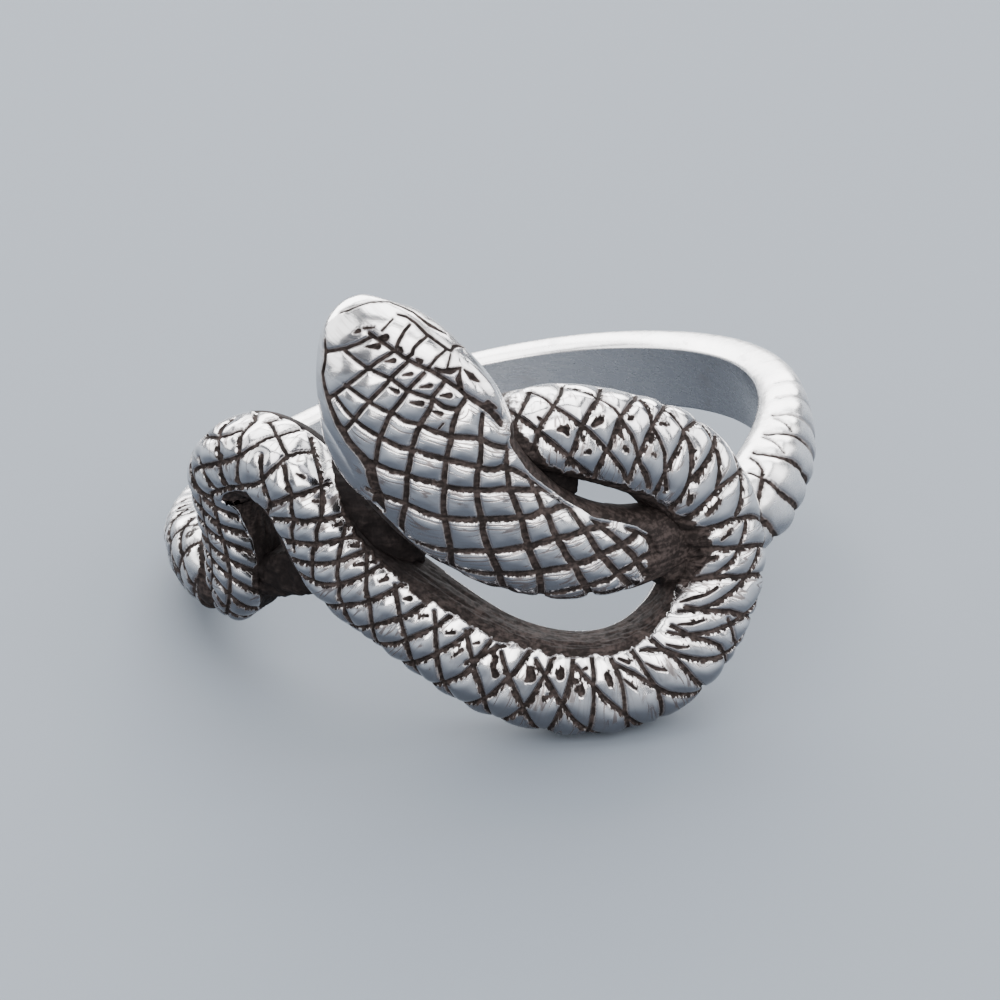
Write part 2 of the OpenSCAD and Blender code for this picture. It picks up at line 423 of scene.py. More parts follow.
def settleLengths(name, base, marks, count, material):
    # one long piece as a few meshes end to end, kept bright where it lies on the finger
    normals = gridNormals(base)
    marks["soot"] = marks["soot"] * (1 - boredWall(base["points"]))
    cuts = np.linspace(0, len(base["points"]) - 1, count + 1).astype(int)
    for k in range(count):
        rows = slice(cuts[k], cuts[k + 1] + 1)
        part = {key: values[rows] for key, values in marks.items()}
        label = name if count == 1 else name + str(k + 1)
        settle(buildMesh(label, base["points"][rows], part, normals[rows]), material)


class Wire:
    # a socket whose values can be written as sums
    def __init__(self, shader, socket):
        self.shader, self.socket = shader, socket

    def math(self, operation, *others):
        inputs = dict(enumerate([self, *others]))
        return self.shader.node("ShaderNodeMath", {"operation": operation}, inputs)

    def __add__(self, other):
        return self.math("ADD", other)

    def __sub__(self, other):
        return self.math("SUBTRACT", other)

    def __rsub__(self, other):
        return self.shader.value(other).math("SUBTRACT", self)

    def __mul__(self, other):
        return self.math("MULTIPLY", other)

    __radd__, __rmul__ = __add__, __mul__

    def between(self, low, high):
        # smooth step from 0 at low to 1 at high
        inputs = {"Value": self, "From Min": low, "From Max": high}
        return self.shader.node("ShaderNodeMapRange", {"interpolation_type": "SMOOTHSTEP"}, inputs)


class Shader:
    def __init__(self, name):
        self.material = bpy.data.materials.new(name)
        self.material.use_nodes = True
        self.tree = self.material.node_tree
        self.tree.nodes.clear()
        self.output = self.tree.nodes.new("ShaderNodeOutputMaterial")
        self.surface = self.tree.nodes.new("ShaderNodeBsdfPrincipled")
        self.tree.links.new(self.surface.outputs[0], self.output.inputs["Surface"])

    def feed(self, socket, value):
        if isinstance(value, Wire):
            self.tree.links.new(value.socket, socket)
        else:
            socket.default_value = value

    def node(self, kind, settings, inputs, output=0):
        made = self.tree.nodes.new(kind)
        for key, value in settings.items():
            setattr(made, key, value)
        for key, value in inputs.items():
            self.feed(made.inputs[key], value)
        return Wire(self, made.outputs[output])

    def value(self, number):
        made = self.tree.nodes.new("ShaderNodeValue")
        made.outputs[0].default_value = number
        return Wire(self, made.outputs[0])

    def mark(self, name):
        return self.node("ShaderNodeAttribute", {"attribute_name": name}, {}, "Fac")

    def place(self):
        return self.node("ShaderNodeNewGeometry", {}, {}, "Position")

    def noise(self, where, scale, detail, roughness):
        inputs = {"Vector": where, "Scale": scale, "Detail": detail, "Roughness": roughness}
        return self.node("ShaderNodeTexNoise", {}, inputs, "Fac")

    def mix(self, factor, first, second):
        inputs = {0: factor, 6: first, 7: second}
        return self.node("ShaderNodeMix", {"data_type": "RGBA"}, inputs, 2)

    def larger(self, first, second):
        return first.math("MAXIMUM", second)


finish = {
    "silver": (0.95, 0.93, 0.92, 1),
    "silverShade": (0.76, 0.745, 0.745, 1),
    "oxide": (0.008, 0.006, 0.0055, 1),
    # near black for the deep crevices, which are oxide and painted shade
    "crevice": (0.004, 0.003, 0.003, 1),
    "film": (0.15, 0.125, 0.12, 1),
    # painted shade: the blue-grey that the lower sides of the scales and the faces turned down are coloured
    "steel": (0.205, 0.21, 0.232, 1),
    "dust": (0.034, 0.026, 0.024, 1),
    # each grain's fineness per metre, its detail and how strong that is; the waves are per millimetre
    "patches": (900.0, 3.0, 0.5),
    "dents": (2600.0, 1.0, 0.5),
    "grain": (7000.0, 3.0, 0.6),
    "teeth": (8500.0, 2.0, 0.6),
    "waves": (4.2, 1.0, 0.5),
    # the teeth are drawn out upright, the brushing runs level, and the waves run along the scratches
    "upright": (1.0, 1.0, 0.3),
    "level": (0.16, 0.3, 1.0),
    "waveStretch": 0.14,
    # where a groove's oxide and the film beside it begin and end, in millimetres from the groove
    "oxideEdge": (0.008, 0.040),
    "filmEdge": (0.01, 0.13),
    "edgeGrain": 0.03,
    # how much soot and painted shade make a crust, and how much a black crevice
    "crustFrom": (0.42, 0.60),
    "creviceFrom": (0.95, 1.5),
    "creviceShare": 0.8,
    # values of the grains between which teeth, patches and lines fade in
    "toothFrom": (0.36, 0.62),
    "filmFrom": (0.58, 0.80),
    "dustFrom": (0.42, 0.64),
    "scratchFrom": (0.36, 0.48),
    "scratchWidth": (0.012, 0.045),
    "cutFrom": (0.38, 0.44),
    "cutWidth": (0.10, 0.24),
    "cutsPerMm": 7.5,
    "cutWobble": 0.12,
    # how strong the film is round a scale, in patches and in scratches, and how few scratches lie low down
    "rimFilm": 0.55,
    "patchFilm": 0.22,
    "scratchFilm": 0.9,
    "lowScratches": 0.25,
    "rough": 0.27,
    "scalesSmoother": 0.1,
    "brushedRougher": 0.2,
    "filmRougher": 0.2,
    "oxideRougher": 0.5,
    "oxideShine": 0.08,
    "bump": 0.7,
    # how high each grain stands and how deep the scratches are, in metres
    "grainRise": 0.00003,
    "patchRise": 0.000010,
    "dentRise": 0.000009,
    "brushedRise": 0.000006,
    "scratchDepth": 0.000004,
}


def scratches(shader, coarse, ragged):
    # fine dark scratches run one way over the scales, and most on their upper sides
    along = shader.mark("along") * finish["waveStretch"]
    coords = shader.node("ShaderNodeCombineXYZ", {}, {"X": along, "Y": shader.mark("across")})
    wave = shader.noise(coords, *finish["waves"])
    lines = 1 - (wave - 0.5).math("ABSOLUTE").between(*finish["scratchWidth"])
    lines = lines * coarse.between(*finish["scratchFrom"])
    lines = lines * (ragged * (1 - finish["lowScratches"]) + finish["lowScratches"])
    # cuts follow the upper edge of a scale at even steps
    steps = ((shader.mark("step") + coarse * finish["cutWobble"]) * finish["cutsPerMm"]).math("FRACT")
    cuts = 1 - (steps - 0.5).math("ABSOLUTE").between(*finish["cutWidth"])
    cuts = cuts * wave.between(*finish["cutFrom"]) * shader.mark("lined")
    return shader.larger(lines, cuts) * shader.mark("scaly")


def silverMaterial(name):
    shader = Shader(name)
    skin = shader.surface.inputs
    where = shader.place()
    upright = shader.node("ShaderNodeMapping", {}, {"Vector": where, "Scale": finish["upright"]})
    level = shader.node("ShaderNodeMapping", {}, {"Vector": where, "Scale": finish["level"]})
    coarse = shader.noise(where, *finish["patches"])
    dents = shader.noise(where, *finish["dents"])
    grain = shader.noise(where, *finish["grain"])
    brushed = shader.noise(level, *finish["grain"])
    teeth = shader.noise(upright, *finish["teeth"]).between(*finish["toothFrom"])
    gap, ragged, soot, lower = [shader.mark(key) for key in ("gap", "ragged", "soot", "lower")]
    # oxide fills the grooves, and its teeth eat into the upper edge of each scale
    edge = gap - ragged * teeth * shader.mark("bite") + (grain - 0.5) * finish["edgeGrain"]
    line = 1 - edge.between(*finish["oxideEdge"])
    # it covers bare walls and crevices too; in the crevices it is partly painted shade
    crustAndShade = (soot + (grain - 0.5) * 0.4 + (brushed - 0.5) * 0.5).between(*finish["crustFrom"])
    dark = shader.larger(line, crustAndShade)
    # a thin film lies round the edge of each scale, in patches and in the scratches
    scratch = scratches(shader, coarse, ragged)
    patches = (coarse + (brushed - 0.5) * 0.7).between(*finish["filmFrom"])
    film = (1 - edge.between(*finish["filmEdge"])) * finish["rimFilm"] + patches * finish["patchFilm"]
    film = shader.larger(film, scratch * finish["scratchFilm"])
    # painted shade: the sides that face down, and the lower side of each scale, are coloured a darker
    # blue-grey
    tone = shader.mix(coarse, finish["silver"], finish["silverShade"])
    tone = shader.mix(lower, tone, finish["steel"])
    tone = shader.mix(film, tone, finish["film"])
    # the oxide holds dust, and the deep crevices are blackest, oxide and painted shade together
    dusty = (grain * 0.5 + brushed * 0.5).between(*finish["dustFrom"])
    deep = soot.between(*finish["creviceFrom"]) * finish["creviceShare"]
    rust = shader.mix(deep, shader.mix(dusty, finish["oxide"], finish["dust"]), finish["crevice"])
    shader.feed(skin["Base Color"], shader.mix(dark, tone, rust))
    shader.feed(skin["Metallic"], 1 - dark)
    rough = finish["rough"] - shader.mark("scaly") * finish["scalesSmoother"]
    rough = rough + (brushed - 0.5) * finish["brushedRougher"]
    rough = rough + film * finish["filmRougher"] + dark * finish["oxideRougher"]
    shader.feed(skin["Roughness"], rough)
    skin["Specular IOR Level"].default_value = finish["oxideShine"]
    height = brushed * finish["brushedRise"] + dents * finish["dentRise"] + coarse * finish["patchRise"]
    height = height + dark * grain * finish["grainRise"] - scratch * finish["scratchDepth"]
    inputs = {"Strength": finish["bump"], "Distance": 1.0, "Height": height}
    shader.feed(skin["Normal"], shader.node("ShaderNodeBump", {}, inputs))
    return shader.material


# Grooves are drawn on the unrolled skin: u is millimetres along the route, v across it from the crest
coils = {
    "rings": 1200,
    "columns": 180,
    "lead": [(0, -0.29)],
    "depth": 0.23,
    "dome": 0.11,
    "groove": 0.085,
    "pitDepth": 0.10,
    "clear": 0.006,
    "bite": 0.08,
    # how far round the section the scales go, in degrees, as (u, angle): the arch has them on its back too
    "scalesReach": [(0, 100), (4, 120), (5, 150), (8, 150), (10, 100)],
    # the edge of the scales and the bare wall below it: strength, fineness along and across, seed
    "edgeTeeth": [(0.11, 3.2, 0.8, 11), (0.06, 11.0, 2.0, 12)],
    "wallGrain": [(1, 1.3, 11.0, 3), (0.7, 4.0, 24.0, 5)],
    "wallDepth": 0.08,
    "wallRough": 0.035,
    # the leg at the left has the same stroke all along, and the rest is drawn one by one
    "legStroke": [(1.6, -1.7), (1.05, -0.6), (0.75, 0.0), (0.3, 0.8), (-0.2, 1.6), (-0.4, 2.0)],
    "legStart": -0.85,
    "legPitch": 0.6,
    "legCount": 9,
    # how far the grooves run on at the start and at the end, and past which u they do so at the end
    "longRunOn": (0, 1.0, 11),
    "crossRunOn": (0.3, 1.0, 8),
    # the soot beside the bare wall, and at the tail's end with where it begins and is full
    "besideWall": 0.55,
    "tailSoot": 0.53,
    "tailDark": (34.0, 36.0),
    # grooves along the body, each one running across to the lower side
    "longGrooves": [
        [(-0.4, 0.3), (0.6, 0.5), (1.9, 0.65), (2.7, 0.6), (3.5, 0.52), (4.3, 0.48), (5.1, 0.38),
         (5.6, 0.55), (6.2, 0.65), (6.85, 0.55), (7.25, 0.35), (7.6, 0.14), (7.8, -0.1), (7.88, -0.5),
         (7.95, -0.95), (7.97, -1.4), (8.05, -1.85), (8.15, -2.25)],
        [(0.0, -0.45), (1.0, -0.3), (2.0, -0.18), (3.0, -0.15), (4.0, -0.15), (4.6, -0.15)],
        [(4.85, 0.4), (4.83, 0.0), (4.95, -0.35), (5.2, -0.6), (5.6, -0.42), (6.0, -0.3), (6.4, -0.28),
         (6.75, -0.42), (7.0, -0.62), (7.15, -0.85), (7.3, -1.15), (7.42, -1.6), (7.55, -2.0), (7.65, -2.5),
         (7.72, -2.85)],
        [(5.75, -1.65), (5.95, -1.35), (6.35, -1.15), (6.62, -1.3), (6.78, -1.55)],
        [(7.1, -2.35), (7.35, -2.1), (7.65, -1.75), (7.95, -1.45)],
        [(7.55, -0.95), (7.65, -0.6), (7.8, -0.2), (8.05, 0.1), (8.35, 0.3), (8.5, 0.6)],
        [(8.05, -1.1), (8.25, -0.75), (8.6, -0.55), (8.85, -0.25), (9.2, -0.05), (9.4, 0.2), (9.7, 0.4),
         (10.0, 0.6)],
        [(7.95, -2.7), (8.15, -2.3), (8.4, -2.0), (8.75, -1.7), (9.05, -1.35), (9.5, -0.95), (9.8, -0.55),
         (10.1, -0.35), (10.3, -0.02), (10.5, 0.15), (10.8, 0.45), (11.0, 0.7)],
        [(10.1, -1.55), (10.4, -1.2), (10.75, -0.8), (11.05, -0.5), (11.35, -0.15), (11.6, 0.05),
         (11.75, 0.35), (12.0, 0.55), (12.3, 0.85)],
        [(11.45, -1.5), (11.7, -1.2), (11.95, -0.9), (12.25, -0.45), (12.6, -0.1), (12.8, 0.2),
         (13.05, 0.6), (13.25, 0.9)],
        [(12.85, -1.15), (13.1, -0.85), (13.4, -0.45), (13.7, -0.1), (14.0, 0.2), (14.25, 0.5),
         (14.55, 0.85), (14.85, 1.2)],
        [(14.2, -1.1), (14.45, -0.75), (14.7, -0.35), (14.95, 0.0), (15.2, 0.35), (15.5, 0.75),
         (15.8, 1.1)],
        [(15.3, -1.1), (15.6, -0.75), (15.85, -0.45), (16.1, -0.15), (16.4, 0.15), (16.7, 0.55),
         (16.95, 1.05)],
        [(16.6, -1.0), (16.9, -0.6), (17.2, -0.25), (17.5, 0.1), (17.75, 0.45), (18.0, 0.85),
         (18.25, 1.25)],
        [(17.75, -1.1), (18.05, -0.75), (18.35, -0.4), (18.65, 0.0), (18.9, 0.3), (19.2, 0.75),
         (19.5, 1.1)],
        [(19.05, -1.1), (19.3, -0.8), (19.6, -0.5), (19.9, -0.1), (20.2, 0.25), (20.5, 0.65), (20.75, 1.1)],
        [(20.35, -1.1), (20.65, -0.85), (20.95, -0.6), (21.2, -0.3), (21.5, 0.1), (21.75, 0.5),
         (22.05, 0.85)],
        [(21.45, -1.25, 0.05), (21.7, -1.2), (22.25, -0.85), (22.5, -0.45), (22.75, -0.1), (23.05, 0.3),
         (23.35, 0.65), (23.6, 0.85)],
        [(22.7, -1.3, 0.05), (23.05, -0.85), (23.4, -0.55), (23.75, -0.2), (24.05, 0.05), (24.25, 0.3),
         (24.5, 0.5), (24.65, 0.7)],
        [(23.6, -1.6, 0.05), (24.05, -1.1), (24.5, -0.7), (24.9, -0.4), (25.2, -0.15), (25.5, 0.1)],
        [(25.0, -2.0, 0.05), (25.3, -1.5), (25.6, -1.0), (25.9, -0.75), (26.25, -0.4), (26.5, -0.2)],
        [(27.65, 0.1, 0.08), (27.9, 0.5), (28.1, 0.75)],
        [(28.85, 0.0), (29.15, 0.5), (29.4, 0.8)],
        [(29.9, -0.4), (30.1, 0.0), (30.3, 0.45, 0.22), (30.65, 0.9)],
        [(30.45, -1.05), (30.75, -0.7), (30.95, -0.35), (31.15, 0.1), (31.45, 0.5), (31.75, 0.85),
         (31.9, 1.6)],
        [(31.15, -1.1), (31.45, -0.7), (31.8, -0.4), (32.05, 0.0), (32.3, 0.4), (32.6, 0.75), (32.85, 1.2),
         (33.25, 1.6)],
        [(31.97, -1.1), (32.25, -0.75), (32.6, -0.45), (32.95, -0.15), (33.25, 0.1), (33.6, 0.4),
         (33.95, 0.65), (34.25, 0.95), (34.5, 1.25), (34.7, 1.75)],
        [(33.2, -1.2), (33.55, -0.9), (33.9, -0.6), (34.25, -0.3), (34.6, 0.05), (34.85, 0.3),
         (35.25, 0.7)],
    ],
    # grooves across the body
    "crossGrooves": [
        [(5.6, -0.42), (5.52, 0.0), (5.5, 0.3), (5.55, 0.6)],
        [(6.38, -0.25), (6.25, 0.1, 0.15), (6.2, 0.65)],
        [(6.35, -1.75), (6.35, -1.3), (6.4, -0.9), (6.4, -0.3)],
        [(6.6, -2.6), (6.8, -2.2), (6.85, -1.9), (6.87, -1.3), (6.95, -1.0), (7.0, -0.62), (6.95, -0.1),
         (6.95, 0.2), (7.1, 0.5)],
        [(7.15, -2.75), (7.05, -2.25)],
        [(8.85, -1.6), (8.8, -1.2), (8.72, -0.8), (8.6, -0.5), (8.55, -0.05), (8.42, 0.35), (8.5, 0.6)],
        [(9.75, -1.6), (9.65, -1.2), (9.5, -0.85), (9.4, -0.4), (9.2, -0.05), (9.05, 0.35), (8.95, 0.6)],
        [(10.5, -1.35), (10.35, -0.95), (10.25, -0.6), (10.15, -0.3), (10.0, 0.05), (9.85, 0.35),
         (9.75, 0.6)],
        [(11.3, -1.4), (11.15, -1.0), (11.0, -0.6), (10.9, -0.3), (10.7, 0.1), (10.5, 0.5)],
        [(12.05, -1.25), (11.85, -0.65), (11.7, -0.3), (11.5, 0.1), (11.3, 0.4), (11.1, 0.65)],
        [(12.95, -1.2), (12.8, -0.75), (12.6, -0.35), (12.4, 0.05), (12.15, 0.35), (12.0, 0.65)],
        [(13.85, -1.15), (13.75, -0.85), (13.65, -0.5), (13.45, -0.2), (13.25, 0.15), (13.05, 0.5)],
        [(14.6, -1.1), (14.5, -0.7), (14.3, -0.3), (14.1, 0.1), (13.95, 0.5), (13.7, 0.85)],
        [(15.35, -1.0), (15.25, -0.6), (15.1, -0.25), (14.95, 0.15), (14.8, 0.5), (14.65, 0.85)],
        [(16.1, -1.0), (16.05, -0.55), (16.05, -0.25), (15.95, 0.25), (15.8, 0.6), (15.65, 1.0)],
        [(16.75, -1.7, 0.25), (16.5, -1.3, 0.2), (16.35, -1.05)],
        [(17.4, -1.1), (17.25, -0.55), (17.1, -0.2), (17.0, 0.15), (16.9, 0.5), (16.75, 0.85)],
        [(18.25, -1.25), (18.2, -0.85), (18.1, -0.45), (18.0, 0.0), (17.9, 0.4), (17.75, 0.85),
         (17.65, 1.15)],
        [(18.95, -1.3), (18.95, -0.8), (18.9, -0.3), (18.85, 0.15), (18.8, 0.6), (18.75, 1.1)],
        [(19.6, -1.4), (19.65, -0.85), (19.65, -0.45), (19.7, 0.05), (19.7, 0.5), (19.7, 1.0)],
        [(20.35, -1.1), (20.47, -0.7), (20.53, -0.25), (20.55, 0.15), (20.55, 0.6), (20.6, 0.95)],
        [(21.15, -1.3), (21.25, -0.9), (21.3, -0.6), (21.4, -0.2), (21.5, 0.15), (21.52, 0.55),
         (21.5, 0.95)],
        [(22.1, -1.2), (22.2, -0.8), (22.35, -0.45), (22.45, 0.05), (22.5, 0.5), (22.6, 1.0)],
        [(23.05, -1.1), (23.2, -0.6), (23.4, -0.25), (23.5, 0.0), (23.6, 0.4), (23.55, 0.9), (23.5, 1.2)],
        [(24.05, -1.2), (24.35, -0.5), (24.55, 0.0), (24.6, 0.45), (24.65, 0.9)],
        [(24.2, 0.35), (24.0, 0.75), (23.95, 1.1)],
        [(25.3, -1.4), (25.45, -1.05), (25.6, -0.6), (25.6, -0.15), (25.7, 0.4), (25.7, 0.9)],
        [(27.1, -2.0), (27.0, -1.5), (26.95, -1.05), (26.75, -0.7), (26.6, -0.2), (26.5, 0.25),
         (26.4, 0.75)],
        [(28.0, -1.8), (27.9, -1.2), (27.7, -0.6), (27.6, -0.15), (27.4, 0.25), (27.25, 0.65),
         (27.05, 1.0)],
        [(28.7, -1.7), (28.75, -1.3), (28.8, -0.85), (28.8, -0.35), (28.75, 0.15), (28.6, 0.6)],
        [(29.5, -1.6), (29.6, -1.3), (29.75, -0.8), (29.88, -0.45), (29.75, 0.0), (29.7, 0.5)],
        [(30.7, -1.4), (30.85, -1.0), (30.9, -0.45), (30.85, -0.05), (30.75, 0.5), (30.7, 0.95),
         (30.4, 1.4)],
        [(31.9, -1.05), (31.97, -0.4), (31.9, 0.0), (31.85, 0.5), (31.75, 0.85), (31.55, 1.25), (31.2, 1.8),
         (30.9, 2.4)],
        [(33.0, -1.1), (33.05, -0.75), (33.0, -0.3), (32.9, 0.0), (32.85, 0.45), (32.8, 0.8), (32.6, 1.2),
         (32.3, 1.7), (32.0, 2.15), (31.85, 2.5)],
        [(33.95, -0.45), (33.9, -0.15), (33.85, 0.3), (33.75, 0.75), (33.55, 1.25), (33.3, 1.7),
         (33.1, 2.25), (32.85, 2.75)],
        [(34.95, 0.0), (34.9, 0.3), (34.8, 0.6), (34.6, 0.95), (34.45, 1.3), (34.25, 1.8), (34.1, 2.4)],
        [(35.45, 0.75), (35.3, 1.2), (35.2, 1.6), (35.1, 2.0)],
    ],
    # pits and creases in the scales, each from its blunt end to its point
    "pits": [
        [(8.45, -1.25, 0.1), (8.3, -1.15, 0.03)],
        [(9.08, -1.15, 0.1), (9.05, -1.05, 0.06)],
        [(9.97, -1.4, 0.12), (9.93, -1.2, 0.06)],
        [(10.98, -1.42, 0.12), (10.82, -1.22, 0.04)],
        [(11.62, -1.08, 0.12), (11.5, -0.92, 0.04)],
        [(11.9, -1.4, 0.12), (11.78, -1.3, 0.04)],
        [(12.52, -1.15, 0.14), (12.42, -0.95, 0.04)],
        [(13.42, -1.02, 0.16), (13.3, -0.92, 0.06)],
        [(14.1, -0.85, 0.08), (13.95, -0.72, 0.04)],
        [(15.02, -0.85, 0.1), (14.85, -0.7, 0.04)],
        [(15.5, -0.5, 0.08), (15.42, -0.2, 0.03)],
        [(15.8, -0.95, 0.08), (15.7, -0.85, 0.04)],
        [(16.5, -0.75, 0.14), (16.6, -0.4, 0.12), (16.75, -0.25, 0.2)],
        [(17.65, -0.75, 0.2), (17.75, -0.5, 0.3), (17.65, -0.38, 0.12)],
        [(18.6, -0.9, 0.16), (18.6, -0.7, 0.24)],
        [(18.35, 0.05, 0.14), (18.4, 0.0, 0.06)],
        [(19.25, -0.35, 0.22), (19.3, -0.2, 0.18)],
        [(19.1, -0.6, 0.12), (19.15, -0.55, 0.08)],
        [(20.05, -0.75, 0.16), (20.15, -0.45, 0.16)],
        [(19.4, -1.0, 0.1), (19.3, -0.95, 0.05)],
        [(20.6, -0.5, 0.03), (20.75, -0.3, 0.08), (20.9, -0.1, 0.03)],
        [(20.55, -1.2, 0.05), (20.85, -1.0, 0.1)],
        [(21.4, -0.8, 0.03), (21.65, -0.5, 0.09), (21.9, -0.3, 0.05)],
        [(22.35, -1.0, 0.03), (22.6, -0.7, 0.09), (22.85, -0.5, 0.03)],
        [(23.15, -1.25, 0.03), (23.5, -0.95, 0.09), (23.85, -0.72, 0.03)],
        [(24.0, -1.7, 0.03), (24.4, -1.4, 0.1), (24.7, -1.1, 0.08), (25.1, -0.85, 0.08)],
        [(24.8, -1.85, 0.14), (25.05, -1.85, 0.04)],
        [(26.2, -1.5, 0.04), (26.5, -1.3, 0.14), (26.55, -1.05, 0.06)],
        [(26.45, -1.95, 0.05), (26.6, -1.7, 0.12), (26.65, -1.45, 0.05)],
        [(26.9, -1.9, 0.03), (26.95, -1.6, 0.06)],
        [(25.4, -1.8, 0.05), (25.75, -1.7, 0.12), (25.9, -1.55, 0.04)],
        [(27.55, -1.45, 0.1), (27.6, -1.25, 0.04)],
        [(27.2, -0.75, 0.08), (27.3, -0.35, 0.06)],
        [(28.45, -0.75, 0.14), (28.5, -0.25, 0.08)],
        [(29.7, -0.3, 0.12), (29.72, 0.2, 0.1)],
        [(29.3, -0.95, 0.08), (29.45, -0.8, 0.1)],
        [(31.45, -0.05, 0.08), (31.52, 0.0, 0.05)],
        [(31.72, 0.35, 0.12), (31.75, 0.55, 0.14)],
        [(32.65, 0.35, 0.1), (32.75, 0.5, 0.16)],
        [(32.4, -0.05, 0.12), (32.5, 0.0, 0.08)],
        [(31.35, 0.95, 0.08), (31.45, 0.98, 0.06)],
        [(32.45, 0.95, 0.14), (32.5, 0.92, 0.08)],
        [(33.35, 0.75, 0.22), (33.5, 0.6, 0.16)],
        [(34.15, 0.25, 0.08), (34.25, 0.4, 0.2), (34.4, 0.4, 0.1)],
        [(33.5, -0.25, 0.08), (33.6, -0.28, 0.05)],
        [(33.7, 0.1, 0.08), (33.72, 0.15, 0.04)],
        [(34.85, 0.75, 0.1), (34.9, 0.8, 0.05)],
    ],
    # where the scales stop on either side, as (u, v), and the bare wall begins
    "upperEdge": [
        (0, -2.9), (8, -3.3), (8.8, -2.3), (9.5, -1.75), (10.5, -1.6), (12, -1.5), (13, -1.3), (14, -1.25),
        (16, -1.3), (18, -1.37), (20, -1.42), (21, -1.45), (22, -1.5), (23, -1.7), (24, -2.0), (25.5, -2.2),
        (26.5, -2.3), (27.2, -2.1), (28.5, -1.85), (29.5, -1.7), (30.5, -1.5), (31.5, -1.3), (32.5, -1.17),
        (33.2, -1.25), (34, -1.1), (34.6, -0.8), (35.2, -0.4), (36.5, 0.2),
    ],
    "lowerEdge": [
        (0, 1.75), (2, 1.66), (3, 1.55), (3.6, 1.4), (4.2, 1.28), (4.6, 1.05), (5, 0.78), (5.6, 0.7),
        (6.3, 0.76), (6.9, 0.66), (7.3, 0.55), (7.7, 0.8), (8.5, 0.8), (10.0, 0.9), (10.8, 1.2), (12, 2.4),
        (13, 9), (40, 9),
    ],
}


def makeCoils():
    base = sweep(bodyRoute, sizes["bodyW"], sizes["bodyT"], coils["rings"], coils["columns"], coils["lead"])
    strokes = runOn(coils["longGrooves"], *coils["longRunOn"])
    strokes += runOn(coils["crossGrooves"], *coils["crossRunOn"])
    strokes += repeated([coils["legStroke"]], coils["legStart"], coils["legPitch"], coils["legCount"])
    gap = strokeGap(base, strokes, coils["groove"])
    pitGap = strokeGap(base, coils["pits"], coils["groove"])
    fromUpper = base["v"] - alongU(base, coils["upperEdge"]) + layeredNoise(base, coils["edgeTeeth"])
    fromLower = alongU(base, coils["lowerEdge"]) - base["v"]
    onWall = 1 - smoothStep(*bareSide, np.minimum(fromUpper, fromLower))
    inside = innerSide(base, coils["scalesReach"])
    bare = np.maximum(onWall, inside)
    gap = np.maximum(gap, bare * farGap)
    ragged, lower = scaleSides(base, gap)
    height = relief(gap, coils["depth"], coils["dome"]) + pitRelief(pitGap, coils["pitDepth"]) * (1 - bare)
    wallDip = coils["wallDepth"] - coils["wallRough"] * layeredNoise(base, coils["wallGrain"])
    finishSkin(base, height - onWall * wallDip * (1 - inside), coils["clear"])
    # dark on the wall and beside it, on the inner side and at the tail's end
    soot = np.maximum(onWall, inside * insideSoot)
    soot = np.maximum(soot, coils["besideWall"] * (1 - smoothStep(-0.05, 0.3, fromUpper)))
    soot = np.maximum(soot, coils["tailSoot"] * smoothStep(*coils["tailDark"], base["u"]))
    # the lower mark is painted shade, on the lower side of each scale and on the faces turned down
    marks = skinMarks(base, gap=np.minimum(gap, np.maximum(pitGap, bare * farGap)), soot=soot,
                      lower=np.maximum(lower, paintedUnderShade(base)),
                      ragged=ragged * smoothStep(-0.02, 0.1, pitGap), bite=coils["bite"], scaly=1)
    return base, marks


